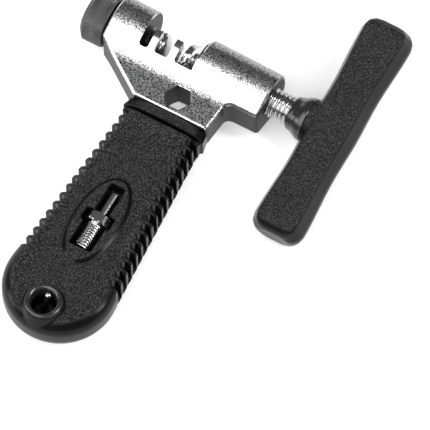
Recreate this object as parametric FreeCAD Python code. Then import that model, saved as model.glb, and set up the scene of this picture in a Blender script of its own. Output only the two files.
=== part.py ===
"""Hand chain tool for bicycle chains: a chromed cast head with a chain cradle, a rubber-sleeved
grip, a T-handled drive screw, and a knurled clamp screw that backs up the chain.

Working frame, in millimetres: X along both screws, from the knurled knob to the T-handle, Y from
the grip towards the head, Z out of the front face. Its zero is on the screw axis, over the middle
of the tang. The parts are written in the row frame, whose origin is the middle of the bottom of
the whole tool's box, so that the tool lies on the plane Z = 0.
"""

import FreeCAD, Part
import math
import os

VEC = FreeCAD.Vector
AXIS_X = VEC(1, 0, 0)
AXIS_Y = VEC(0, 1, 0)
AXIS_Z = VEC(0, 0, 1)

# Head casting
HEAD_X = (-32.6, 26.0)
HEAD_R = (10.4, 9.3)       # round top of the head at its two ends; it tapers as it was cast
BOSS_END_X = -20.4         # the cradle lies between the boss and the barrel, which starts at zero
FLANK_Y = -11.3            # where the line of the flanks meets the flat plate
BLEND_R = 9.0              # blend between flank and plate
FLAT_Y = -14.6             # the plate's faces are flat from here down
BARREL_FOOT_Y = -10.2      # underside of the barrel, beyond the plate
PLATE_HALF = 5.8           # half the plate's thickness
PLATE_END_Y = -21.9        # where the plate meets the grip
TANG_HALF_W = 8.0
TANG_HALF_T = 3.0
TANG_END_Y = -49.0
EDGE_CHAMFER = 0.7
RIM_CHAMFER = 0.4
HEX_AF = 8.0               # hexagonal hole, across flats
HEX_Y = -15.9
HEX_CHAMFER = 0.5

# Chain cradle
FLOOR_Y = -6.4             # bottom of the slots
TOOTH_TOP_Y = 0.6
TOOTH_W = 2.2              # fits between a chain's inner plates
TOOTH_X = (-17.0, -9.5)    # left faces of the two teeth
NOTCH_R = 5.25             # round notch in each tooth, where the roller lies
SLOT_CORNER_R = 1.1
NOSE_X = -6.4              # tip of the turned nose that guides the pin
NOSE_FLARE = [(NOSE_X, 5.2), (-6.1, 5.5), (-4.9, 5.6), (-3.9, 5.95), (-2.9, 6.55), (-2.0, 7.35),
              (-1.3, 8.15), (-0.8, 8.8)]   # stations and radii of its trumpet-shaped outside

# Screws, both M10 x 1.5, drawn at their crest diameter
SCREW_R = 5.0
SCREW_BORE_R = 5.05

# Replaceable press pin, the same on the drive screw and in the grip
PIN_R = 1.6
PIN_LENGTH = 9.4
PIN_GRIP = 6.0             # length of the pin held inside its carrier
COLLAR_AF = 8.0
COLLAR_LENGTH = 3.5
PIN_THREAD_R = 3.0
PIN_THREAD_LENGTH = 9.5
PIN_TIP_X = -7.6           # drive pin's tip at rest
PIN_GUIDE_R = 1.67

# Clamp screw
CLAMP_SHOULDER_X = -15.2   # end of the threaded part
CLAMP_TIP_X = -12.9
CLAMP_SPIGOT_R = 3.8       # plain end that the knob is pressed on
KNOB_R = 8.5
KNOB_X = (-42.0, -33.1)
NECK_R = 2.0
NECK_LENGTH = 4.5

# Handle
HANDLE_X = 48.5
HANDLE_LENGTH = 81.0
HANDLE_HALF_W = (8.6, 8.25, 9.15)  # at the parting line: over the hub, at the waists, near the ends
HANDLE_HALF_T = (7.3, 6.9, 7.3)   # the same for the thickness
HANDLE_WAIST_Y = 14.0
HANDLE_WIDEST_Y = 35.0
HANDLE_BEVEL = 2.5
HANDLE_EDGE_R = 1.1
HANDLE_END_R = 4.6
HANDLE_TURN = 10.0         # degrees about the screw axis, as the tool is put down
HUB_X = 33.5
HUB_R = (5.9, 7.4)

# Grip
GRIP_HALF_T = 7.0
GRIP_TOP_Y = -27.0
GRIP_TOP_HALF_W = 14.1
LOBE_R = 19.0
LOBE_Y = -92.4
GRIP_FILLET = 5.6
COLLAR_END_Y = -26.1       # the collar band runs from here up to the plate
COLLAR_HALF_W = (14.2, 14.9)    # next to the plate, and at its other end
COLLAR_CROWN_Z = (5.2, 6.9)     # on the middle of the tool
COLLAR_SIDE_Z = (3.2, 4.7)      # at its sides
COLLAR_GROOVE = (14.0, 4.0)     # half sizes of the neck in the groove between collar and grip
SERRATIONS = 16
SERRATION_Y = (-28.6, -85.3)
SERRATION_R = 1.25
SERRATION_DEPTH = 3.4
SERRATION_FLOOR_Z = -1.6   # the scoops stop here and leave a lip behind them
NOTCH_CUT_R = 0.95         # notches that round the lip off between two scoops
PAD_Y = -68.4
PAD_HALF = (9.6, 18.4)     # half width and half length at its foot
PAD_SLOPE = 2.4
PAD_TOP_Z = 8.2
SPARE_AXIS_Z = 4.9
SPARE_TIP_Y = -56.7
RECESS_Y = -103.0
RECESS_R = 5.5
RECESS_BOSS_R = (8.2, 6.5)  # sloping boss around the mouth, at its foot and at its top
RECESS_FLOOR_Z = -3.4
EYELET_R = (4.3, 5.5, 6.2)  # clear hole, body and flange
EYELET_TOP_Z = 8.2
PEG_R = 1.15


def cylinder(radius, start, end, axis=AXIS_X):
    """A cylinder about the screw axis, or another axis through the zero, between two stations."""
    return Part.makeCylinder(radius, end - start, axis * start, axis)


def box(low, high):
    return Part.makeBox(high[0] - low[0], high[1] - low[1], high[2] - low[2], VEC(*low))


def polygon(points):
    return Part.Face(Part.makePolygon([VEC(*p) for p in points + points[:1]]))


def turned(profile):
    """Revolves (x, radius) points, closed along the screw axis."""
    points = [(x, r, 0.0) for x, r in profile]
    return polygon(points).revolve(VEC(0, 0, 0), AXIS_X, 360)


def hexagon(across_flats, start, end, axis, first):
    """A hexagonal prism about an axis through the zero; first points at one of its corners."""
    corner = across_flats / math.sqrt(3)
    side = axis.cross(first)
    ring = []
    for k in range(6):
        a = k * math.pi / 3
        ring.append(first * (corner * math.cos(a)) + side * (corner * math.sin(a)) + axis * start)
    return Part.Face(Part.makePolygon(ring + ring[:1])).extrude(axis * (end - start))


def edges_where(shape, test):
    return [e for e in shape.Edges if test(e)]


# Head casting ------------------------------------------------------------------------------

def head_section(x, radius):
    """Round top whose flanks run down, tangent to the circle, and blend into the plate."""
    reach = math.hypot(FLANK_Y, PLATE_HALF)
    touch = math.atan2(PLATE_HALF, FLANK_Y) - math.acos(radius / reach)
    ty, tz = radius * math.cos(touch), radius * math.sin(touch)
    tilt = math.atan2(tz - PLATE_HALF, ty - FLANK_Y)
    end_y = FLANK_Y - BLEND_R * math.tan(tilt / 2)

    def blend(angle, side):
        rise = PLATE_HALF + BLEND_R * (1 - math.cos(angle))
        return VEC(x, end_y + BLEND_R * math.sin(angle), side * rise)

    edges = [Part.Arc(VEC(x, ty, tz), VEC(x, radius, 0), VEC(x, ty, -tz)).toShape()]
    edges.append(Part.makeLine(VEC(x, ty, -tz), blend(tilt, -1)))
    edges.append(Part.Arc(blend(tilt, -1), blend(tilt / 2, -1), blend(0, -1)).toShape())
    edges.append(Part.makeLine(blend(0, -1), VEC(x, FLAT_Y, -PLATE_HALF)))
    edges.append(Part.makeLine(VEC(x, FLAT_Y, -PLATE_HALF), VEC(x, FLAT_Y, PLATE_HALF)))
    edges.append(Part.makeLine(VEC(x, FLAT_Y, PLATE_HALF), blend(0, 1)))
    edges.append(Part.Arc(blend(0, 1), blend(tilt / 2, 1), blend(tilt, 1)).toShape())
    edges.append(Part.makeLine(blend(tilt, 1), VEC(x, ty, tz)))
    return Part.Wire(edges)


def rounded_outline(points, radii):
    """A closed flat wire in Z = 0 with each corner rounded by its own radius."""
    edges = []
    count = len(points)
    starts = []
    for i in range(count):
        here = VEC(points[i][0], points[i][1], 0)
        back = VEC(points[i - 1][0], points[i - 1][1], 0) - here
        ahead = VEC(points[(i + 1) % count][0], points[(i + 1) % count][1], 0) - here
        back.normalize()
        ahead.normalize()
        half = back.getAngle(ahead) / 2
        cut = radii[i] / math.tan(half)
        middle = back + ahead
        middle.normalize()
        centre = here + middle * (radii[i] / math.sin(half))
        starts.append((here + back * cut, centre - middle * radii[i], here + ahead * cut))
    for i in range(count):
        a, m, b = starts[i]
        if radii[i] > 0:
            edges.append(Part.Arc(a, m, b).toShape())
        edges.append(Part.makeLine(b, starts[(i + 1) % count][0]))
    return Part.Wire(edges)


def head_blank():
    """The head before its cradle and holes are cut: one long section, trimmed to the front outline."""
    left, right = HEAD_X
    blank = Part.makeLoft([head_section(left, HEAD_R[0]), head_section(right, HEAD_R[1])], True, True)
    blank = blank.fuse(box((left, PLATE_END_Y, -PLATE_HALF), (right, FLAT_Y, PLATE_HALF)))
    points = [(-13.3, PLATE_END_Y), (13.7, PLATE_END_Y), (14.8, BARREL_FOOT_Y), (right, BARREL_FOOT_Y),
              (right, 14.0), (left, 14.0), (left, -8.4)]
    outline = rounded_outline(points, [1.2, 1.2, 2.6, 1.2, 0.0, 0.0, 1.6])
    trim = Part.Face(outline).extrude(AXIS_Z * 30)
    trim.translate(AXIS_Z * -15)
    blank = blank.common(trim)

    def on_border(edge):
        middle = edge.valueAt((edge.FirstParameter + edge.LastParameter) / 2)
        foot = Part.Vertex(VEC(middle.x, middle.y, 0))
        return (edge.BoundBox.XLength > 1e-3 and middle.y < -5 and outline.distToShape(foot)[0] < 0.02)

    return blank.makeChamfer(EDGE_CHAMFER, edges_where(blank, on_border))


def cradle_slot(x0, x1):
    """A slot through the cradle with rounded bottom corners, open at the top."""
    r = SLOT_CORNER_R
    top = 14.0
    points = [(x0, FLOOR_Y), (x1, FLOOR_Y), (x1, top), (x0, top)]
    slot = Part.Face(rounded_outline(points, [r, r, 0.0, 0.0])).extrude(AXIS_Z * 30)
    slot.translate(AXIS_Z * -15)
    return slot


def round_rims(shape):
    """The four round rims of the head, at its ends and on both sides of the cradle."""
    stations = (HEAD_X[0], BOSS_END_X, 0.0, HEAD_X[1])

    def is_rim(edge):
        span = edge.BoundBox
        return (span.XLength < 1e-5 and span.YMax > 6 and span.ZLength > 8
                and any(abs(span.XMin - x) < 1e-5 for x in stations))

    return edges_where(shape, is_rim)


def head_casting():
    head = head_blank()
    head = head.cut(box((BOSS_END_X, TOOTH_TOP_Y, -20), (0, 20, 20)))
    head = head.makeChamfer(RIM_CHAMFER, round_rims(head))
    left_face = BOSS_END_X
    for tooth in TOOTH_X:
        head = head.cut(cradle_slot(left_face, tooth))
        left_face = tooth + TOOTH_W
    head = head.cut(cradle_slot(left_face, 0.0))
    for tooth in TOOTH_X:
        head = head.cut(cylinder(NOTCH_R, tooth - 1, tooth + TOOTH_W + 1))
    nose = turned([(NOSE_X, 0)] + NOSE_FLARE + [(0.5, NOSE_FLARE[-1][1]), (0.5, 0)])
    tang = box((-TANG_HALF_W, TANG_END_Y, -TANG_HALF_T), (TANG_HALF_W, PLATE_END_Y + 1, TANG_HALF_T))
    head = head.fuse([nose, tang])
    bores = [cylinder(SCREW_BORE_R, HEAD_X[0] - 1, BOSS_END_X + 1),
             cylinder(SCREW_BORE_R, -2.4, HEAD_X[1] + 1),
             cylinder(COLLAR_AF / math.sqrt(3) + 0.1, -5.7, 0),
             cylinder(PIN_GUIDE_R, NOSE_X - 1, 0)]
    head = head.cut(Part.makeCompound(bores))
    head = head.cut(hexagonal_hole())
    return head.removeSplitter()


def hexagonal_hole():
    """The through hole with a small chamfer at both faces."""
    hole = hexagon(HEX_AF, -20, 20, AXIS_Z, AXIS_X)
    for side in (-1, 1):
        rings = []
        for depth, across in ((HEX_CHAMFER, HEX_AF), (0.0, HEX_AF + 2 * HEX_CHAMFER)):
            corner = across / math.sqrt(3)
            points = [VEC(corner * math.cos(k * math.pi / 3), corner * math.sin(k * math.pi / 3),
                          side * (PLATE_HALF - depth)) for k in range(6)]
            rings.append(Part.makePolygon(points + points[:1]))
        hole = hole.fuse(Part.makeLoft(rings, True, True))
    hole.translate(AXIS_Y * HEX_Y)
    return hole


# Screws and pins ---------------------------------------------------------------------------

def pin_carrier():
    """Threaded carrier of a press pin, its collar's face at X = 0 and its thread towards +X."""
    body = hexagon(COLLAR_AF, 0, COLLAR_LENGTH, AXIS_X, AXIS_Z)
    cone = turned([(-0.01, 0), (-0.01, COLLAR_AF / 2), (0.5, 5.2), (COLLAR_LENGTH - 0.4, 5.2),
                   (COLLAR_LENGTH + 0.01, COLLAR_AF / 2), (COLLAR_LENGTH + 0.01, 0)])
    body = body.common(cone)
    end = COLLAR_LENGTH + PIN_THREAD_LENGTH
    thread = turned([(COLLAR_LENGTH - 0.5, 0), (COLLAR_LENGTH - 0.5, PIN_THREAD_R),
                     (end - 0.6, PIN_THREAD_R), (end, PIN_THREAD_R - 0.6), (end, 0)])
    hole = cylinder(PIN_R, -1, PIN_GRIP)
    return body.fuse(thread).cut(hole)


def pin_tip():
    """Hard pin pressed into its carrier, with its working end towards -X."""
    return turned([(-PIN_LENGTH, 0), (-PIN_LENGTH, PIN_R - 0.3), (-PIN_LENGTH + 0.3, PIN_R),
                   (PIN_GRIP, PIN_R), (PIN_GRIP, 0)])


def collar_face_x():
    return PIN_TIP_X + PIN_LENGTH


def drive_screw():
    start = collar_face_x() + COLLAR_LENGTH + 0.1
    end = HANDLE_X + 4.0
    body = turned([(start, 0), (start, SCREW_R - 0.8), (start + 0.8, SCREW_R), (end, SCREW_R), (end, 0)])
    socket = cylinder(PIN_THREAD_R + 0.05, start - 1, start + PIN_THREAD_LENGTH + 0.5)
    return body.cut(socket)


def clamp_screw():
    end = KNOB_X[1]
    body = turned([(KNOB_X[0] + 1.2, 0), (KNOB_X[0] + 1.2, CLAMP_SPIGOT_R), (end, CLAMP_SPIGOT_R),
                   (end, SCREW_R), (CLAMP_SHOULDER_X - 0.3, SCREW_R), (CLAMP_SHOULDER_X, SCREW_R - 0.3),
                   (CLAMP_SHOULDER_X, 0)])
    return body.cut(cylinder(NECK_R + 0.05, CLAMP_SHOULDER_X - NECK_LENGTH - 0.3, CLAMP_SHOULDER_X + 1))


def clamp_nose():
    """Domed foot on a neck that turns freely in the end of the clamp screw."""
    gap = 0.15
    base = CLAMP_SHOULDER_X + gap
    length = CLAMP_TIP_X - base
    dome = [(base, NECK_R), (base, SCREW_R - 0.2)]
    steps = 6
    for k in range(1, steps + 1):
        a = k / steps * math.pi / 2
        dome.append((base + 0.3 + (length - 0.3) * math.sin(a), 1.2 + (SCREW_R - 1.4) * math.cos(a)))
    neck_end = CLAMP_SHOULDER_X - NECK_LENGTH
    return turned([(neck_end, 0), (neck_end, NECK_R)] + dome + [(CLAMP_TIP_X, 0)])


def clamp_knob():
    """Round knob, drawn at the crest of its knurl, with turned chamfers."""
    x0, x1 = KNOB_X
    body = turned([(x0, 0), (x0, 6.6), (x0 + 0.9, 7.6), (x0 + 1.5, KNOB_R), (x1 - 0.9, KNOB_R),
                   (x1, KNOB_R - 0.9), (x1, 0)])
    return body.cut(cylinder(CLAMP_SPIGOT_R, x0 + 1.2, x1 + 1))


# Handle ------------------------------------------------------------------------------------

def turned_with_handle(shape):
    shape.rotate(VEC(0, 0, 0), AXIS_X, HANDLE_TURN)
    return shape


def waisted(y, sizes):
    """A half size of the T-handle at a station: smooth from the hub to the waist and the widest end."""
    middle, waist, widest = sizes
    reach = abs(y)
    if reach < HANDLE_WAIST_Y:
        share = (1 - math.cos(math.pi * reach / HANDLE_WAIST_Y)) / 2
        return middle + (waist - middle) * share
    share = min((reach - HANDLE_WAIST_Y) / (HANDLE_WIDEST_Y - HANDLE_WAIST_Y), 1.0)
    return waist + (widest - waist) * (1 - math.cos(math.pi * share)) / 2


def handle_section(y, shrink):
    """Section of the T-handle, with bevels and rounded edges between its faces and its sides."""
    w = waisted(y, HANDLE_HALF_W) - shrink
    t = waisted(y, HANDLE_HALF_T) - shrink
    f = w - HANDLE_BEVEL
    e = HANDLE_EDGE_R
    quarter = [(f - e, t), (f + 0.35 * e, t - 0.5 * e), (w - 0.3, 1.8), (w, 0.9)]
    points = quarter + [(px, -pz) for px, pz in reversed(quarter)]
    points += [(-px, -pz) for px, pz in quarter] + [(-px, pz) for px, pz in reversed(quarter)]
    ring = [VEC(HANDLE_X + px, y, pz) for px, pz in points]
    return Part.makePolygon(ring + ring[:1])


def t_handle():
    half = HANDLE_LENGTH / 2
    ends = [(HANDLE_END_R * (1 - math.sin(a)), HANDLE_END_R * (1 - math.cos(a)))
            for a in (math.radians(d) for d in (0, 30, 55, 75))]
    upper = [(y, 0.0) for y in (0.0, 4.0, 8.0, 12.0, 16.0, 20.5, 25.0, 29.5, 33.0)]
    upper += [(half - inset, shrink) for inset, shrink in ends]
    lower = [(-y, shrink) for y, shrink in reversed(upper[1:])]
    bar = Part.makeLoft([handle_section(y, s) for y, s in lower + upper], True, True)
    root = turned([(40.0, 0), (40.0, HUB_R[1] + 0.2), (42.5, HUB_R[1] - 0.4), (42.5, 0)])
    bar = bar.fuse(root)
    bar = bar.cut(cylinder(SCREW_R, 30, HANDLE_X + 4.0))
    return turned_with_handle(bar)


def handle_hub():
    end = 40.0
    hub = turned([(HUB_X, 0), (HUB_X, HUB_R[0] - 0.5), (HUB_X + 0.5, HUB_R[0]), (HUB_X + 3.2, 6.3),
                  (HUB_X + 5.2, HUB_R[1]), (end, HUB_R[1] + 0.2), (end, 0)])
    return hub.cut(cylinder(SCREW_R, 30, 60))


# Grip --------------------------------------------------------------------------------------

def grip_slab():
    """Straight flared sides that run tangent into the round lobe, rounded all along both faces."""
    rise = GRIP_TOP_Y - LOBE_Y
    reach = math.hypot(GRIP_TOP_HALF_W, rise)
    touch = math.atan2(rise, GRIP_TOP_HALF_W) - math.acos(LOBE_R / reach)
    tx = LOBE_R * math.cos(touch)
    ty = LOBE_Y + LOBE_R * math.sin(touch)
    arc = Part.Arc(VEC(tx, ty, 0), VEC(0, LOBE_Y - LOBE_R, 0), VEC(-tx, ty, 0)).toShape()
    sides = Part.makePolygon([VEC(-tx, ty, 0), VEC(-GRIP_TOP_HALF_W, GRIP_TOP_Y, 0),
                              VEC(GRIP_TOP_HALF_W, GRIP_TOP_Y, 0), VEC(tx, ty, 0)])
    slab = Part.Face(Part.Wire([arc] + sides.Edges)).extrude(AXIS_Z * (2 * GRIP_HALF_T))
    slab.translate(AXIS_Z * -GRIP_HALF_T)
    rims = edges_where(slab, lambda e: e.BoundBox.ZLength < 1e-6 and e.BoundBox.YMin < -30)
    return slab.makeFillet(GRIP_FILLET, rims)


def collar_section(y, half_w, crown_z, side_z):
    """Section of the collar band, crowned at front and back."""
    drop = crown_z - side_z
    quarter = [(0.0, crown_z), (half_w * 0.45, crown_z - 0.12 * drop), (half_w * 0.8, crown_z - 0.5 * drop),
               (half_w - 0.9, side_z), (half_w, side_z - 1.0)]
    points = quarter + [(px, -pz) for px, pz in reversed(quarter)]
    points += [(-px, -pz) for px, pz in quarter[1:]] + [(-px, pz) for px, pz in reversed(quarter[1:])]
    ring = [VEC(px, y, pz) for px, pz in points]
    return Part.makePolygon(ring + ring[:1])


def grip_collar():
    """Crowned band against the plate, with a groove between it and the rest of the grip."""
    sections = [collar_section(y, COLLAR_HALF_W[k], COLLAR_CROWN_Z[k], COLLAR_SIDE_Z[k])
                for k, y in ((0, PLATE_END_Y), (1, COLLAR_END_Y))]
    half_w, half_t = COLLAR_GROOVE
    neck = box((-half_w, GRIP_TOP_Y - 1, -half_t), (half_w, COLLAR_END_Y + 1, half_t))
    return Part.makeLoft(sections, True, True).fuse(neck)


def grip_edge(y):
    """Half width of the grip at a station along its straight flared sides."""
    share = (y - GRIP_TOP_Y) / (LOBE_Y - GRIP_TOP_Y)
    return GRIP_TOP_HALF_W + (LOBE_R - GRIP_TOP_HALF_W) * share


def serration_cuts():
    """Round-bottomed scoops in both front edges, and the notches between them."""
    cuts = []
    first, last = SERRATION_Y
    pitch = (last - first) / (SERRATIONS - 1)
    for side in (-1, 1):
        for k in range(SERRATIONS):
            y = first + pitch * k
            x = side * (grip_edge(y) - SERRATION_DEPTH + SERRATION_R)
            scoop = Part.makeCylinder(SERRATION_R, 20, VEC(x, y, SERRATION_FLOOR_Z), AXIS_Z)
            floor = Part.makeSphere(SERRATION_R, VEC(x, y, SERRATION_FLOOR_Z))
            low = min(x, x + side * 8)
            mouth = box((low, y - SERRATION_R, SERRATION_FLOOR_Z), (low + 8, y + SERRATION_R, 20))
            ramp = Part.makeCylinder(SERRATION_R, 8, VEC(x, y, SERRATION_FLOOR_Z), AXIS_X * side)
            cuts.append(scoop.fuse([floor, mouth, ramp]))
        for k in range(SERRATIONS + 1):
            y = first + pitch * (k - 0.5)
            cuts.append(Part.makeCylinder(NOTCH_CUT_R, 40, VEC(side * (grip_edge(y) + 0.3), y, -20), AXIS_Z))
    return cuts


def oval(half_w, half_l, z):
    ellipse = Part.Ellipse(VEC(0, 0, 0), half_l, half_w).toShape()
    wire = Part.Wire([ellipse])
    wire.rotate(VEC(0, 0, 0), AXIS_Z, 90)
    wire.translate(VEC(0, PAD_Y, z))
    return wire


def spare_pocket():
    """Stepped pocket that holds the spare pin: pin, hexagonal collar and thread."""
    tip = SPARE_TIP_Y
    collar = tip - PIN_LENGTH
    thread = collar - COLLAR_LENGTH
    end = thread - PIN_THREAD_LENGTH
    return [box((-2.6, collar - 1, SPARE_AXIS_Z - 2.2), (2.6, tip + 2.2, 12)),
            box((-5.2, thread - 0.5, SPARE_AXIS_Z - 4.3), (5.2, collar + 0.5, 12)),
            box((-4.0, end - 0.7, SPARE_AXIS_Z - 3.3), (4.0, thread, 12))]


def grip_sleeve():
    grip = grip_slab()
    for cut in serration_cuts():
        grip = grip.cut(cut)
    pad = Part.makeLoft([oval(PAD_HALF[0], PAD_HALF[1], GRIP_HALF_T - 1.0),
                         oval(PAD_HALF[0] - PAD_SLOPE, PAD_HALF[1] - PAD_SLOPE, PAD_TOP_Z)], True, True)
    low, high = RECESS_BOSS_R
    boss = Part.makeCone(low, high, EYELET_TOP_Z - 3.0, VEC(0, RECESS_Y, 3.0), AXIS_Z)
    grip = grip.fuse([grip_collar(), pad, boss])
    tang = box((-TANG_HALF_W, TANG_END_Y, -TANG_HALF_T), (TANG_HALF_W, 0, TANG_HALF_T))
    recess = cylinder(RECESS_R, RECESS_FLOOR_Z, 20, AXIS_Z)
    recess.translate(AXIS_Y * RECESS_Y)
    grip = grip.cut(Part.makeCompound([tang, recess] + spare_pocket()))
    return grip.removeSplitter()


def recess_eyelet():
    """Flanged ring in the mouth of the recess near the end of the grip."""
    hole, body, flange = EYELET_R
    top = EYELET_TOP_Z
    profile = [(hole, top - 3.4), (body, top - 3.4), (body, top - 0.5), (flange, top - 0.5),
               (flange, top - 0.1), (flange - 0.6, top + 0.5), (hole + 0.5, top + 0.5), (hole, top)]
    ring = polygon([(r, 0.0, z) for r, z in profile]).revolve(VEC(0, 0, 0), AXIS_Z, 360)
    ring.translate(AXIS_Y * RECESS_Y)
    return ring


def stow_peg():
    """Round-ended steel peg that stands aslant in the recess."""
    foot = VEC(0, RECESS_Y - 2.6, RECESS_FLOOR_Z)
    head = VEC(0, RECESS_Y + 2.9, RECESS_FLOOR_Z + 10.6)
    run = head - foot
    rod = Part.makeCylinder(PEG_R * 0.9, run.Length + 2.0, foot - run * (2.0 / run.Length), run)
    rod = rod.fuse(Part.makeSphere(PEG_R, head))
    return rod.cut(box((-10, -130, -20), (10, -80, RECESS_FLOOR_Z)))


# Assembly ----------------------------------------------------------------------------------

def tool():
    carrier = pin_carrier()
    tip = pin_tip()
    for piece in (carrier, tip):
        piece.translate(AXIS_X * collar_face_x())
    spare_carrier = pin_carrier()
    spare_tip = pin_tip()
    for piece in (spare_carrier, spare_tip):
        piece.rotate(VEC(0, 0, 0), AXIS_X, 30)
        piece.rotate(VEC(0, 0, 0), AXIS_Z, -90)
        piece.translate(VEC(0, SPARE_TIP_Y - PIN_LENGTH, SPARE_AXIS_Z))
    return {
        "head_casting": head_casting(),
        "grip_sleeve": grip_sleeve(),
        "recess_eyelet": recess_eyelet(),
        "stow_peg": stow_peg(),
        "drive_pin_carrier": carrier,
        "drive_pin_tip": tip,
        "drive_screw": drive_screw(),
        "handle_hub": handle_hub(),
        "t_handle": t_handle(),
        "clamp_nose": clamp_nose(),
        "clamp_screw": clamp_screw(),
        "clamp_knob": clamp_knob(),
        "spare_pin_carrier": spare_carrier,
        "spare_pin_tip": spare_tip,
    }


def main():
    os.makedirs("parts", exist_ok=True)
    pieces = tool()
    whole = Part.makeCompound(list(pieces.values())).optimalBoundingBox()
    origin = VEC(whole.Center.x, whole.Center.y, whole.ZMin)
    print("zero of the screw axis in the row frame:", -origin)
    for name, shape in pieces.items():
        shape.translate(-origin)
        solids = shape.Solids
        print(name, "solids", len(solids), "valid", shape.isValid(), "volume", round(shape.Volume, 1))
        (solids[0] if len(solids) == 1 else shape).exportStep("parts/" + name + ".step")


main()
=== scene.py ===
"""Looks of a hand chain tool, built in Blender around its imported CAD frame.

Lengths named in millimetres are in the tool's own frame: X along both screws from the knurled knob to
the T-handle, Y from the grip to the head, Z out of the front face, zero on the screw axis over the
middle of the tang. place() carries them into the row frame, in metres.
"""

import math

import bpy
from mathutils import Matrix, Vector


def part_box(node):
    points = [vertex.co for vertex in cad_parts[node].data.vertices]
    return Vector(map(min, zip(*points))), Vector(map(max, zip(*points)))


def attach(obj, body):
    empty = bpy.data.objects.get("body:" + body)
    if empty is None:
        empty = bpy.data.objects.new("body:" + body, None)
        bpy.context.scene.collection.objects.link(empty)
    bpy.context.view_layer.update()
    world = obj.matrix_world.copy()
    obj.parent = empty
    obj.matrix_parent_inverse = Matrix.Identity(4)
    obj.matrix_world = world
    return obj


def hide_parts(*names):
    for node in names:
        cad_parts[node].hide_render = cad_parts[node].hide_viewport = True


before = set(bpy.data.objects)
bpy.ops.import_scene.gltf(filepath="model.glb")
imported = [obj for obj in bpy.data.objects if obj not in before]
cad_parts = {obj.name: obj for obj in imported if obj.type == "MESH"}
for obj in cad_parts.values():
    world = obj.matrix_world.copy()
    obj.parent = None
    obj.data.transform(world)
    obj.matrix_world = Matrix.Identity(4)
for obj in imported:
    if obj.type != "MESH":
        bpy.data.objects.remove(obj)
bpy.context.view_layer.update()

MM = 0.001
BOSS_START = 32.6            # the head's left end, this far from the zero
GRIP_END = 111.4             # the grip's rounded end, this far from the zero

HEAD_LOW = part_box("head_casting")[0]
SCREW_LOW, SCREW_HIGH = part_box("drive_screw")
ZERO = Vector((HEAD_LOW.x + BOSS_START * MM,
               (SCREW_LOW.y + SCREW_HIGH.y) / 2,
               (SCREW_LOW.z + SCREW_HIGH.z) / 2))


def place(x, y, z):
    """A point of the tool's frame, in millimetres, as a point of the row frame, in metres."""
    return ZERO + Vector((x, y, z)) * MM


def span_x(node):
    """First and last station of a node along the screw axis, in millimetres."""
    low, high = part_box(node)
    return (low.x - ZERO.x) / MM, (high.x - ZERO.x) / MM


def ease(value, start, end):
    """0 before start, 1 after end, and smooth between them; start may be the larger."""
    t = min(1.0, max(0.0, (value - start) / (end - start)))
    return t * t * (3 - 2 * t)


# Material building ---------------------------------------------------------------------------

CELL_SMOOTHNESS = 0.6
RING_DIVISOR = 6.28
RING_DISTORTION = 0.6


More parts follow.
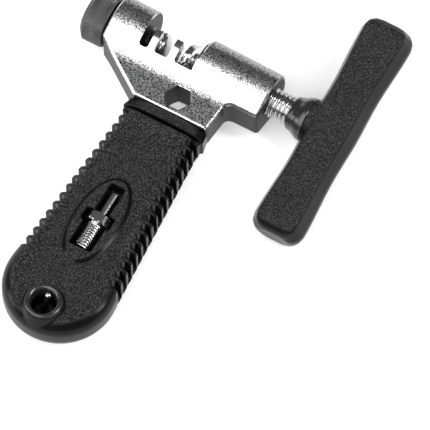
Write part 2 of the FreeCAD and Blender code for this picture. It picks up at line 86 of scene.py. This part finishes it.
class Shader:
    """A node material with short calls for the nodes used here."""

    def __init__(self, name, color, metallic, roughness):
        self.material = bpy.data.materials.new(name)
        self.material.use_nodes = True
        self.tree = self.material.node_tree
        self.surface = self.tree.nodes["Principled BSDF"]
        self.surface.inputs["Base Color"].default_value = (*color, 1.0)
        self.surface.inputs["Metallic"].default_value = metallic
        self.surface.inputs["Roughness"].default_value = roughness
        self.coords = self.tree.nodes.new("ShaderNodeTexCoord")

    def link(self, output, node, name):
        self.tree.links.new(output, node.inputs[name])

    def noise(self, per_mm, detail=2.0, roughness=0.55):
        """A noise of about so many cells to the millimetre."""
        node = self.tree.nodes.new("ShaderNodeTexNoise")
        node.inputs["Scale"].default_value = per_mm / MM
        node.inputs["Detail"].default_value = detail
        node.inputs["Roughness"].default_value = roughness
        self.link(self.coords.outputs["Object"], node, "Vector")
        return node.outputs["Fac"]

    def cells(self, per_mm):
        """Distance to the middle of the nearest pebble."""
        node = self.tree.nodes.new("ShaderNodeTexVoronoi")
        node.feature = "SMOOTH_F1"
        node.inputs["Scale"].default_value = per_mm / MM
        node.inputs["Smoothness"].default_value = CELL_SMOOTHNESS
        self.link(self.coords.outputs["Object"], node, "Vector")
        return node.outputs["Distance"]

    def rings(self, density):
        """Fine turning marks round the screw axis, about half of density to the millimetre."""
        node = self.tree.nodes.new("ShaderNodeTexWave")
        node.wave_type = "BANDS"
        node.bands_direction = "X"
        node.inputs["Scale"].default_value = density / MM / RING_DIVISOR
        node.inputs["Distortion"].default_value = RING_DISTORTION
        node.inputs["Detail"].default_value = 1.0
        self.link(self.coords.outputs["Object"], node, "Vector")
        return node.outputs["Fac"]

    def math(self, operation, first, second=None, third=None):
        node = self.tree.nodes.new("ShaderNodeMath")
        node.operation = operation
        for index, value in enumerate((first, second, third)):
            if isinstance(value, (int, float)):
                node.inputs[index].default_value = value
            elif value is not None:
                self.tree.links.new(value, node.inputs[index])
        return node.outputs["Value"]

    def remap(self, value, low, high, to_low, to_high):
        """A smooth remap of a texture value from one range to another."""
        node = self.tree.nodes.new("ShaderNodeMapRange")
        node.interpolation_type = "SMOOTHSTEP"
        ranges = (("From Min", low), ("From Max", high), ("To Min", to_low), ("To Max", to_high))
        for name, number in ranges:
            node.inputs[name].default_value = number
        self.link(value, node, "Value")
        return node.outputs["Result"]

    def split(self, output):
        node = self.tree.nodes.new("ShaderNodeSeparateXYZ")
        self.link(output, node, "Vector")
        return node.outputs

    def within(self, low, high):
        """1 inside a box given in the tool's frame, in millimetres, and 0 outside it."""
        axes = self.split(self.coords.outputs["Object"])
        inside = None
        low, high = place(*low), place(*high)
        for axis, a, b in zip(axes, low, high):
            near = self.math("COMPARE", axis, (a + b) / 2, (b - a) / 2)
            inside = near if inside is None else self.math("MULTIPLY", inside, near)
        return inside

    def tint(self, factor, dark, light):
        """Colour between two shades by a texture value."""
        node = self.tree.nodes.new("ShaderNodeMix")
        node.data_type = "RGBA"
        node.inputs["A"].default_value = (*dark, 1.0)
        node.inputs["B"].default_value = (*light, 1.0)
        self.tree.links.new(factor, node.inputs["Factor"])
        color = next(o for o in node.outputs if o.type == "RGBA")
        self.link(color, self.surface, "Base Color")

    def rough(self, value):
        self.link(value, self.surface, "Roughness")

    def bump(self, height, depth_mm, strength=1.0):
        node = self.tree.nodes.new("ShaderNodeBump")
        node.inputs["Strength"].default_value = strength
        node.inputs["Distance"].default_value = depth_mm * MM
        self.link(height, node, "Height")
        self.link(node.outputs["Normal"], self.surface, "Normal")


def grey(value, warmth=0.0):
    return (value * (1 + warmth), value, value * (1 - warmth))


CRADLE_LOW, CRADLE_HIGH = (-20.3, -7.0, -20.0), (-0.3, 20.0, 20.0)     # its machined part


def cast_chrome():
    """Satin chrome over a blasted casting, rougher on its sides, where painted shade also darkens its
    colour almost to black; painted shade darkens the faces turned away from the grip too; its cradle
    and bores are machined.
    """
    s = Shader("cast_chrome", grey(0.72), 1.0, 0.24)
    grain = s.noise(2.0, 3.0, 0.75)
    facing = s.split(s.coords.outputs["Normal"])
    upright = s.math("ABSOLUTE", facing[2])
    crown = s.remap(facing[1], 0.2, 0.5, 0.0, 1.0)
    front = s.remap(upright, 0.93, 0.985, 0.35, 1.0)
    cast = s.math("MAXIMUM", front, crown)
    machined = s.within(CRADLE_LOW, CRADLE_HIGH)
    cast = s.math("MULTIPLY", cast, s.math("SUBTRACT", 1.0, machined))
    # side: mask of the cast sides, for their roughness and for their painted shade
    side = s.math("MULTIPLY", s.remap(upright, 0.2, 0.45, 1.0, 0.0), s.math("SUBTRACT", 1.0, crown))
    side = s.math("MULTIPLY", side, s.math("SUBTRACT", 1.0, machined))
    grain_cast = s.math("MULTIPLY", s.math("SUBTRACT", grain, 0.5), cast)
    shade = s.math("ADD", s.math("MULTIPLY", grain_cast, 8.0), 0.62)
    # painted shade: faces turned away from the grip are darkened
    shade = s.math("MULTIPLY", shade, s.remap(facing[1], 0.25, 0.75, 1.0, 0.4))
    # painted shade on the sides: their colour falls almost to black
    s.tint(s.math("MULTIPLY", shade, s.remap(side, 0.0, 1.0, 1.0, 0.02)), grey(0.03), grey(0.90))
    dull = s.math("MAXIMUM", s.math("MULTIPLY", cast, 0.14), s.math("MULTIPLY", side, 0.3))
    s.rough(s.math("ADD", dull, 0.16))
    s.bump(grain_cast, 0.10)
    return s.material


def bright_steel():
    """Turned bright steel."""
    s = Shader("bright_steel", grey(0.74), 1.0, 0.2)
    marks = s.rings(5.0)
    s.tint(s.noise(0.35, 3.0), grey(0.42), grey(0.64))
    s.rough(s.remap(s.noise(1.5, 2.0), 0.3, 0.7, 0.13, 0.26))
    s.bump(marks, 0.006, 0.5)
    return s.material


def pin_steel():
    """Hardened, ground pin."""
    s = Shader("pin_steel", grey(0.6), 1.0, 0.18)
    s.tint(s.noise(0.5, 2.0), grey(0.48), grey(0.66, 0.01))
    s.rough(s.remap(s.noise(3.0, 2.0), 0.3, 0.7, 0.12, 0.24))
    s.bump(s.noise(6.0, 2.0), 0.004, 0.4)
    return s.material


def black_oxide():
    """Oiled black oxide on turned steel."""
    s = Shader("black_oxide", grey(0.03), 0.7, 0.3)
    s.tint(s.noise(0.8, 3.0), grey(0.018), grey(0.06))
    s.rough(s.remap(s.noise(2.0, 2.0), 0.3, 0.7, 0.22, 0.36))
    s.bump(s.rings(6.0), 0.005, 0.4)
    return s.material


KNOB_DARK_R, KNOB_BRIGHT_R = 8.40, 8.51


def knob_oxide():
    """Black oxide, its colour brighter from KNOB_DARK_R out to KNOB_BRIGHT_R.

    The visible knurl lies wholly beyond KNOB_BRIGHT_R, so all of it takes the brighter shade.
    """
    s = Shader("knob_oxide", grey(0.05), 0.6, 0.38)
    axes = s.split(s.coords.outputs["Object"])
    out_y = s.math("POWER", s.math("SUBTRACT", axes[1], ZERO.y), 2.0)
    out_z = s.math("POWER", s.math("SUBTRACT", axes[2], ZERO.z), 2.0)
    radius = s.math("SQRT", s.math("ADD", out_y, out_z))
    point = s.remap(radius, KNOB_DARK_R * MM, KNOB_BRIGHT_R * MM, 0.0, 1.0)
    s.tint(s.math("ADD", s.math("MULTIPLY", point, 0.85), s.math("MULTIPLY", s.noise(0.6, 2.0), 0.15)),
           grey(0.004), grey(0.10))
    s.rough(s.remap(s.noise(2.5, 2.0), 0.3, 0.7, 0.3, 0.48))
    s.bump(s.noise(5.0, 2.0), 0.01, 0.3)
    return s.material


def moulded_grain(s, per_mm, mask):
    """Fine sandy grain of a spark-eroded mould, within a mask."""
    pebble = s.remap(s.cells(per_mm), 0.15, 0.75, 1.0, 0.0)
    sand = s.remap(s.noise(per_mm * 1.5, 3.0, 0.7), 0.38, 0.66, 0.0, 1.0)
    both = s.math("ADD", s.math("MULTIPLY", pebble, 0.5), s.math("MULTIPLY", sand, 0.6))
    return s.math("MULTIPLY", both, mask)


MOULDED_SPECULAR = 0.14


def grip_rubber():
    """Moulded rubber: grained on its faces, smooth and glossier in the scoops of its edges; the
    grain's lighter colour on its faces is a painted sheen, and its sides and slopes stay near black.
    """
    s = Shader("grip_rubber", grey(0.02), 0.0, 0.42)
    facing = s.split(s.coords.outputs["Normal"])
    face = s.remap(s.math("ABSOLUTE", facing[2]), 0.78, 0.97, 0.0, 1.0)
    grain = moulded_grain(s, 1.7, face)
    # painted sheen: the grain lightens the colour of the faces only
    s.tint(s.remap(grain, 0.3, 1.0, 0.0, 1.0), grey(0.004), grey(0.075))
    s.rough(s.math("ADD", s.math("MULTIPLY", face, 0.14), 0.24))
    s.bump(grain, 0.16)
    s.surface.inputs["Specular IOR Level"].default_value = MOULDED_SPECULAR
    return s.material


def handle_plastic():
    """Hard moulded plastic with a fine grain on its front and back faces, whose lighter colour there
    is a painted sheen; its sides stay near black.
    """
    s = Shader("handle_plastic", grey(0.02), 0.0, 0.36)
    facing = s.split(s.coords.outputs["Normal"])
    face = s.remap(s.math("ABSOLUTE", facing[2]), 0.55, 0.9, 0.0, 1.0)
    grain = moulded_grain(s, 2.2, face)
    # painted sheen: the grain lightens the colour of the front and back faces only
    s.tint(s.remap(grain, 0.3, 1.0, 0.0, 1.0), grey(0.004), grey(0.07))
    s.rough(s.math("ADD", s.math("MULTIPLY", face, 0.12), 0.25))
    s.bump(grain, 0.12)
    s.surface.inputs["Specular IOR Level"].default_value = MOULDED_SPECULAR
    return s.material


def gloss_plastic(name, shade_low, shade_high):
    """Smooth glossy black plastic."""
    s = Shader(name, grey(shade_high), 0.0, 0.16)
    s.tint(s.noise(0.3, 2.0), grey(shade_low), grey(shade_high))
    s.rough(s.remap(s.noise(1.0, 2.0), 0.3, 0.7, 0.26, 0.34))
    s.bump(s.noise(2.5, 2.0), 0.006, 0.4)
    s.surface.inputs["Coat Weight"].default_value = 0.3
    return s.material


MATERIALS = {
    "cast_chrome": cast_chrome(),
    "bright_steel": bright_steel(),
    "pin_steel": pin_steel(),
    "black_oxide": black_oxide(),
    "knob_oxide": knob_oxide(),
    "grip_rubber": grip_rubber(),
    "handle_plastic": handle_plastic(),
    "hub_plastic": gloss_plastic("hub_plastic", 0.006, 0.02),
    "eyelet_plastic": gloss_plastic("eyelet_plastic", 0.008, 0.02),
}


# Piece building ------------------------------------------------------------------------------

def add_piece(name, mesh, body, slot, nodes):
    """Shows a mesh in place of CAD nodes, riding on a body with a slot's material."""
    piece = bpy.data.objects.new(name, mesh)
    bpy.context.scene.collection.objects.link(piece)
    mesh.materials.clear()
    mesh.materials.append(MATERIALS[slot])
    for polygon in mesh.polygons:
        polygon.use_smooth = True
    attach(piece, body)
    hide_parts(*nodes)


def new_mesh(name, verts, faces):
    mesh = bpy.data.meshes.new(name)
    mesh.from_pydata(verts, [], faces)
    mesh.update()
    return mesh


def sharpen(mesh, degrees):
    """Marks edges sharper than an angle, so that smooth shading stops at them."""
    mesh.set_sharp_from_angle(angle=math.radians(degrees))


def revolved_mesh(name, stations, radius, segments, axis_to_row):
    """A closed body of revolution whose radius(x, turn) may change round it."""
    verts = []
    faces = []
    for x in stations:
        for k in range(segments):
            turn = 2 * math.pi * k / segments
            r = radius(x, turn)
            verts.append(axis_to_row @ Vector((x, r * math.cos(turn), r * math.sin(turn))))
    for i in range(len(stations) - 1):
        for k in range(segments):
            k2 = (k + 1) % segments
            faces.append((i * segments + k, i * segments + k2,
                          (i + 1) * segments + k2, (i + 1) * segments + k))
    for row, flip in ((0, False), (len(stations) - 1, True)):
        centre = len(verts)
        verts.append(axis_to_row @ Vector((stations[row], 0, 0)))
        for k in range(segments):
            k2 = (k + 1) % segments
            a, b = row * segments + k, row * segments + k2
            faces.append((centre, a, b) if flip else (centre, b, a))
    return new_mesh(name, verts, faces)


def along_screw():
    """Carries (x, y, z) in millimetres about the screw axis into the row frame."""
    return Matrix.Translation(ZERO) @ Matrix.Scale(MM, 4)


def steps(start, end, count):
    return [start + (end - start) * k / count for k in range(count + 1)]


def envelope(points):
    """Radius by station, straight between (x, radius) points."""
    def radius(x):
        for (x0, r0), (x1, r1) in zip(points, points[1:]):
            if x <= x1:
                return r0 + (r1 - r0) * max(0.0, x - x0) / max(1e-9, x1 - x0)
        return points[-1][1]
    return radius


THREAD_DEPTH = 0.6134        # depth of a 60 degree thread over its pitch
CREST_EDGE, ROOT_EDGE = 0.10, 0.82     # where the flank leaves the crest and meets the root
FLANK_POWER = 0.85


def thread_depth(x, turn, pitch):
    """How far a thread's flank lies below its crest.

    The helix made here is left-hand, although the screws' joints move as right-hand ones.
    """
    phase = (x / pitch + turn / (2 * math.pi)) % 1.0
    from_crest = abs(phase - 0.5) * 2
    return THREAD_DEPTH * pitch * ease(from_crest, CREST_EDGE, ROOT_EDGE) ** FLANK_POWER


def threaded(points, start, end, pitch):
    """Radius of a body that carries a thread between two stations."""
    plain = envelope(points)

    def radius(x, turn):
        r = plain(x)
        run_in = ease(x, start, start + 0.3 * pitch) * ease(x, end, end - 0.3 * pitch)
        crest = max(p[1] for p in points)
        return min(r, max(crest - thread_depth(x, turn, pitch) * run_in, 0.1))
    return radius


SCREW_PITCH = 1.5            # both screws
SCREW_R = 5.0
PIN_PITCH = 1.0
PIN_THREAD_R = 3.0
THREAD_SEGMENTS = 56
SHOULDER_X = -33.1           # the clamp screw's thread begins here
SHANK_R = 3.8                # its plain end inside the knob
STEP = 0.01                  # length of a square step in a profile


def thread_stations(start, end, pitch, extra=()):
    count = round((end - start) / pitch * 10)
    return sorted(set(steps(start, end, count)) | set(extra))


def drive_screw():
    """The drive screw, threaded from end to end."""
    start, end = span_x("drive_screw")
    points = [(start, 4.2), (start + 0.8, SCREW_R), (end, SCREW_R)]
    stations = thread_stations(start, end, SCREW_PITCH)
    radius = threaded(points, start - 1.0, end + 1.0, SCREW_PITCH)
    mesh = revolved_mesh("drive_thread", stations, radius, THREAD_SEGMENTS, along_screw())
    add_piece("drive_thread", mesh, "drive_handle", "bright_steel", ["drive_screw"])


def clamp_screw():
    """The clamp screw: a plain end inside the knob, then thread."""
    start, end = span_x("clamp_screw")
    points = [(start, SHANK_R), (SHOULDER_X - STEP, SHANK_R), (SHOULDER_X, SCREW_R),
              (end - 0.4, SCREW_R), (end, 4.5)]
    stations = thread_stations(start, end, SCREW_PITCH, (SHOULDER_X - STEP, SHOULDER_X))
    radius = threaded(points, SHOULDER_X, end + 1.0, SCREW_PITCH)
    mesh = revolved_mesh("clamp_thread", stations, radius, THREAD_SEGMENTS, along_screw())
    add_piece("clamp_thread", mesh, "clamp_spindle", "black_oxide", ["clamp_screw"])


KNURL_COUNT = 58
KNURL_DEPTH = 0.36
KNURL_CREST = 8.9            # radius of its points, 0.4 more than the CAD knob's


def clamp_knob():
    """The knob, with two crossing sets of grooves round it."""
    start, end = span_x("clamp_knob")
    points = [(start, 6.9), (start + 0.9, 8.0), (start + 1.5, KNURL_CREST), (end - 0.9, KNURL_CREST),
              (end, KNURL_CREST - 0.9)]
    plain = envelope(points)
    lean = KNURL_COUNT / (2 * math.pi * KNURL_CREST)

    def radius(x, turn):
        around = turn * KNURL_COUNT / (2 * math.pi)
        left = abs((around + x * lean) % 1.0 - 0.5) * 2
        right = abs((around - x * lean) % 1.0 - 0.5) * 2
        groove = 1 - min(left, right)
        band = ease(x, start + 1.0, start + 1.7) * ease(x, end - 0.3, end - 1.1)
        return plain(x) - KNURL_DEPTH * groove * band

    stations = sorted({start + 0.9, start + 1.5, end - 0.9} | set(steps(start, end, 72)))
    mesh = revolved_mesh("knurled_knob", stations, radius, KNURL_COUNT * 8, along_screw())
    sharpen(mesh, 40)
    add_piece("knurled_knob", mesh, "clamp_spindle", "knob_oxide", ["clamp_knob"])


FOOT_BASE_X = -15.05
FOOT_EDGE = 0.25             # bevel at the foot's base


def clamp_nose():
    """The foot: a thin neck, a bevelled base and a dome that meets the chain."""
    start, end = span_x("clamp_nose")
    dome_start = FOOT_BASE_X + FOOT_EDGE
    points = [(start, 2.0), (FOOT_BASE_X - STEP, 2.0), (FOOT_BASE_X, 4.6), (dome_start, 4.8)]
    points += [(dome_start + (end - dome_start) * math.sin(a), 1.2 + 3.6 * math.cos(a))
               for a in steps(0.15, math.pi / 2, 12)]
    dome = envelope(points)
    stations = [p[0] for p in points]
    mesh = revolved_mesh("domed_foot", stations, lambda x, turn: dome(x), 64, along_screw())
    sharpen(mesh, 50)
    add_piece("domed_foot", mesh, "clamp_foot", "bright_steel", ["clamp_nose"])


def handle_hub():
    start, end = span_x("handle_hub")
    length = end - start
    points = [(start, 5.2), (start + 0.15, 5.5), (start + 0.5, 5.75), (start + 1.2, 5.9)]
    points += [(start + length * t, 5.9 + 1.65 * ease(t, 0.15, 0.85)) for t in steps(0.25, 1.0, 16)]
    profile = envelope(points)
    stations = [p[0] for p in points]
    mesh = revolved_mesh("hub_bulge", stations, lambda x, turn: profile(x), 80, along_screw())
    add_piece("hub_bulge", mesh, "drive_handle", "hub_plastic", ["handle_hub"])


def carrier_matrix(kind):
    """Along the screw for the drive pin; down the pocket, flat side up, for the spare one."""
    if kind == "drive":
        return along_screw()
    low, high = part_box("spare_pin_carrier")
    middle = Vector(((low.x + high.x) / 2, high.y, (low.z + high.z) / 2))
    return Matrix.Translation(middle) @ Matrix.Scale(MM, 4) @ Matrix.Rotation(-math.pi / 2, 4, "Z")


COLLAR_AF = 8.0
COLLAR_LENGTH = 3.5
UNDERCUT_R = 2.4


def hexagon_radius(turn, first):
    """Distance from the middle to the side of a hexagon with a flat at the angle first."""
    off = (turn - first + math.pi / 6) % (math.pi / 3) - math.pi / 6
    return COLLAR_AF / 2 / math.cos(off)


def pin_carrier(kind, body):
    """Hexagonal collar with turned corners, an undercut, and an M6 thread with a lead-in."""
    node = kind + "_pin_carrier"
    if kind == "drive":
        start, end = span_x(node)
    else:
        low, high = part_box(node)
        start, end = 0.0, (high.y - low.y) / MM
    collar_end = start + COLLAR_LENGTH
    points = [(collar_end, PIN_THREAD_R), (end - 0.7, PIN_THREAD_R), (end, 2.35)]
    shaft = threaded(points, collar_end + 0.9, end + 1.0, PIN_PITCH)
    first_flat = 0.0 if kind == "drive" else math.pi / 2

    def radius(x, turn):
        if x <= collar_end:
            near_edge = min(x - start, collar_end - x)
            return min(hexagon_radius(turn, first_flat), COLLAR_AF / 2 - 0.15 + near_edge * 1.7)
        if x < collar_end + 0.8:
            return UNDERCUT_R
        return shaft(x, turn)

    stations = {start, start + 0.12, start + 0.3, start + 0.5, collar_end - 0.5, collar_end - 0.3,
                collar_end - 0.12, collar_end, collar_end + 0.001, collar_end + 0.799}
    stations |= set(steps(collar_end + 0.8, end, round((end - collar_end) / PIN_PITCH * 10)))
    mesh = revolved_mesh(node + "_threaded", sorted(stations), radius, 72, carrier_matrix(kind))
    sharpen(mesh, 30)
    add_piece(node + "_threaded", mesh, body, "bright_steel", [node])


def eyelet():
    """Rounded ring in the mouth of the recess."""
    low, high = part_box("recess_eyelet")
    middle = Vector(((low.x + high.x) / 2, (low.y + high.y) / 2, 0))
    outer = (high.x - low.x) / 2 / MM
    top = high.z / MM
    profile = [(outer, top - 1.0), (outer, top - 0.55), (outer - 0.15, top - 0.25),
               (outer - 0.5, top - 0.04), (outer - 0.75, top), (5.2, top - 0.05), (4.8, top - 0.25),
               (4.5, top - 0.6), (4.35, top - 1.2), (4.3, top - 3.9), (5.5, top - 3.9),
               (5.5, top - 1.0)]
    segments = 72
    verts = []
    faces = []
    for k in range(segments):
        turn = 2 * math.pi * k / segments
        for r, z in profile:
            verts.append(middle + Vector((r * math.cos(turn), r * math.sin(turn), z)) * MM)
    count = len(profile)
    for k in range(segments):
        k2 = (k + 1) % segments
        for i in range(count):
            i2 = (i + 1) % count
            faces.append((k * count + i, k2 * count + i, k2 * count + i2, k * count + i2))
    mesh = new_mesh("eyelet_ring", verts, faces)
    sharpen(mesh, 50)
    add_piece("eyelet_ring", mesh, "tool_body", "eyelet_plastic", ["recess_eyelet"])


def moulded_mesh(node, voxel, passes):
    """A CAD node's shape as a mould leaves it: remeshed finely, then its edges relaxed."""
    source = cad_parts[node]
    copy = bpy.data.objects.new(node + "_mould", source.data.copy())
    bpy.context.scene.collection.objects.link(copy)
    weld = copy.modifiers.new("weld", "WELD")
    weld.merge_threshold = 0.002 * MM
    remesh = copy.modifiers.new("remesh", "REMESH")
    remesh.mode = "VOXEL"
    remesh.voxel_size = voxel * MM
    relax = copy.modifiers.new("relax", "SMOOTH")
    relax.factor = 0.5
    relax.iterations = passes
    evaluated = copy.evaluated_get(bpy.context.evaluated_depsgraph_get())
    mesh = bpy.data.meshes.new_from_object(evaluated)
    mesh.name = node + "_moulded"
    bpy.data.objects.remove(copy)
    return mesh


LOBE_R = 19.0                # the grip's rounded end
LOBE_Y = LOBE_R - GRIP_END
FLANKS_START = 1.4           # the straight flanks begin this far above the lobe's middle
GRIP_TOP_Y = -27.0
GRIP_TOP_HALF_W = 14.1
GRIP_DISH = 0.8
GROOVE_Y = -26.55            # groove between the grip's collar and the rest of it
GROOVE_DEPTH = 0.7


def grip_half_width(y):
    """Half width of the grip's outline at a station, in millimetres."""
    if y < LOBE_Y + FLANKS_START:
        return math.sqrt(max(0.0, LOBE_R ** 2 - (y - LOBE_Y) ** 2))
    slope = (LOBE_R - GRIP_TOP_HALF_W) / (LOBE_Y - GRIP_TOP_Y)
    return GRIP_TOP_HALF_W + slope * (y - GRIP_TOP_Y)


def grip_sleeve():
    """The moulded sleeve: its front and back faces are dished between the serrated edges."""
    mesh = moulded_mesh("grip_sleeve", 0.32, 3)
    for vertex in mesh.vertices:
        p = (vertex.co - ZERO) / MM
        room = grip_half_width(p.y) - abs(p.x)
        end = p.y + GRIP_END
        depth = GRIP_DISH * ease(min(room, end), 3.2, 8.5) * ease(p.y, -27.4, -33.0)
        side = math.copysign(ease(abs(p.z), 5.5, 6.6), p.z)
        groove = GROOVE_DEPTH * ease(abs(p.y - GROOVE_Y), 0.9, 0.25) * ease(abs(p.z), 3.0, 4.0)
        vertex.co.z -= (depth * side + math.copysign(groove, p.z)) * MM
    add_piece("moulded_grip", mesh, "tool_body", "grip_rubber", ["grip_sleeve"])


HANDLE_TURN = math.radians(10.0)
HANDLE_X = 48.5              # the T-handle's middle plane
HANDLE_DISH = 0.5


def t_handle():
    """The moulded T-handle, its faces dished a little on both sides of the hub."""
    mesh = moulded_mesh("t_handle", 0.34, 9)
    to_handle = Matrix.Rotation(-HANDLE_TURN, 4, "X")
    back = to_handle.inverted()
    for vertex in mesh.vertices:
        p = to_handle @ ((vertex.co - ZERO) / MM)
        dish = HANDLE_DISH * ease(abs(p.y), 6.0, 18.0) * ease(abs(p.y), 34.0, 24.0)
        across = ease(abs(p.x - HANDLE_X), 7.0, 2.0)
        p.z -= math.copysign(dish * across * ease(abs(p.z), 4.0, 6.0), p.z)
        vertex.co = ZERO + (back @ p) * MM
    add_piece("moulded_handle", mesh, "drive_handle", "handle_plastic", ["t_handle"])


def give_material(node, slot):
    """A CAD node that keeps its own shape takes its slot's material."""
    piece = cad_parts[node]
    for material_slot in piece.material_slots:
        material_slot.material = MATERIALS[slot]


# Stage ---------------------------------------------------------------------------------------

FLOOR_REACH = 3.0
FLOOR_DROP = 0.0002          # keeps the floor just under the grip's back
FLOOR_GLOW = 0.28


def pale_floor():
    corners = [(x * FLOOR_REACH, y * FLOOR_REACH, 0) for x, y in ((-1, -1), (1, -1), (1, 1), (-1, 1))]
    mesh = new_mesh("floor", corners, [(0, 1, 2, 3)])
    floor = bpy.data.objects.new("floor", mesh)
    bpy.context.scene.collection.objects.link(floor)
    floor.location.z = -FLOOR_DROP
    s = Shader("floor_paint", grey(0.9), 0.0, 0.8)
    s.tint(s.noise(0.01, 2.0), grey(0.90), grey(0.92))
    s.surface.inputs["Emission Color"].default_value = (1.0, 1.0, 1.0, 1.0)
    s.surface.inputs["Emission Strength"].default_value = FLOOR_GLOW
    mesh.materials.append(s.material)


def softbox(name, direction, distance, width, height, radiance):
    """An area light that faces the tool from a direction, of a given brightness."""
    light = bpy.data.lights.new(name, "AREA")
    light.shape = "RECTANGLE"
    light.size = width
    light.size_y = height
    light.energy = radiance * math.pi * width * height
    lamp = bpy.data.objects.new(name, light)
    bpy.context.scene.collection.objects.link(lamp)
    towards = Vector(direction).normalized()
    lamp.location = CAMERA_TARGET + towards * distance
    lamp.visible_camera = False
    lamp.rotation_mode = "QUATERNION"
    lamp.rotation_quaternion = (-towards).to_track_quat("-Z", "Y")


CAMERA_TARGET = place(31.9, -47.7, 5.8)
CAMERA_AZIMUTH = math.radians(31.4)
CAMERA_ELEVATION = math.radians(61.9)
CAMERA_ROLL = math.radians(-1.9)
CAMERA_DISTANCE = 6.0
VIEW_WIDTH = 0.1387          # width of the picture at the target
SENSOR_WIDTH = 36.0
CLIP_START, CLIP_END = 0.01, 20.0
WORLD_STRENGTH = 0.12


def camera():
    data = bpy.data.cameras.new("camera")
    data.sensor_width = SENSOR_WIDTH
    data.lens = SENSOR_WIDTH * CAMERA_DISTANCE / VIEW_WIDTH
    data.clip_start = CLIP_START
    data.clip_end = CLIP_END
    eye = bpy.data.objects.new("camera", data)
    bpy.context.scene.collection.objects.link(eye)
    back = Vector((math.sin(CAMERA_AZIMUTH) * math.cos(CAMERA_ELEVATION),
                   -math.cos(CAMERA_AZIMUTH) * math.cos(CAMERA_ELEVATION),
                   math.sin(CAMERA_ELEVATION)))
    eye.location = CAMERA_TARGET + back * CAMERA_DISTANCE
    eye.rotation_mode = "QUATERNION"
    level = (-back).to_track_quat("-Z", "Y")
    eye.rotation_quaternion = level @ Matrix.Rotation(CAMERA_ROLL, 3, "Z").to_quaternion()
    bpy.context.scene.camera = eye


def lighting():
    world = bpy.data.worlds.new("studio")
    world.use_nodes = True
    background = world.node_tree.nodes["Background"]
    background.inputs["Color"].default_value = (1.0, 1.0, 1.0, 1.0)
    background.inputs["Strength"].default_value = WORLD_STRENGTH
    bpy.context.scene.world = world
    softbox("key", (-0.28, -0.55, 0.78), 0.9, 0.9, 1.1, 3.6)
    softbox("right_strip", (0.66, 0.16, 0.70), 1.0, 0.22, 0.9, 16.0)
    softbox("left_edge", (-0.87, -0.48, 0.19), 0.9, 0.3, 0.3, 6.0)
    softbox("left_fill", (-0.90, 0.42, 0.10), 0.9, 0.5, 0.25, 2.0)
    bpy.context.scene.view_settings.view_transform = "Standard"


# The tool ------------------------------------------------------------------------------------

grip_sleeve()
t_handle()
handle_hub()
drive_screw()
clamp_screw()
clamp_knob()
clamp_nose()
pin_carrier("drive", "press_pin")
pin_carrier("spare", "spare_pin")
eyelet()
give_material("head_casting", "cast_chrome")
give_material("stow_peg", "bright_steel")
give_material("drive_pin_tip", "pin_steel")
give_material("spare_pin_tip", "pin_steel")

pale_floor()
camera()
lighting()
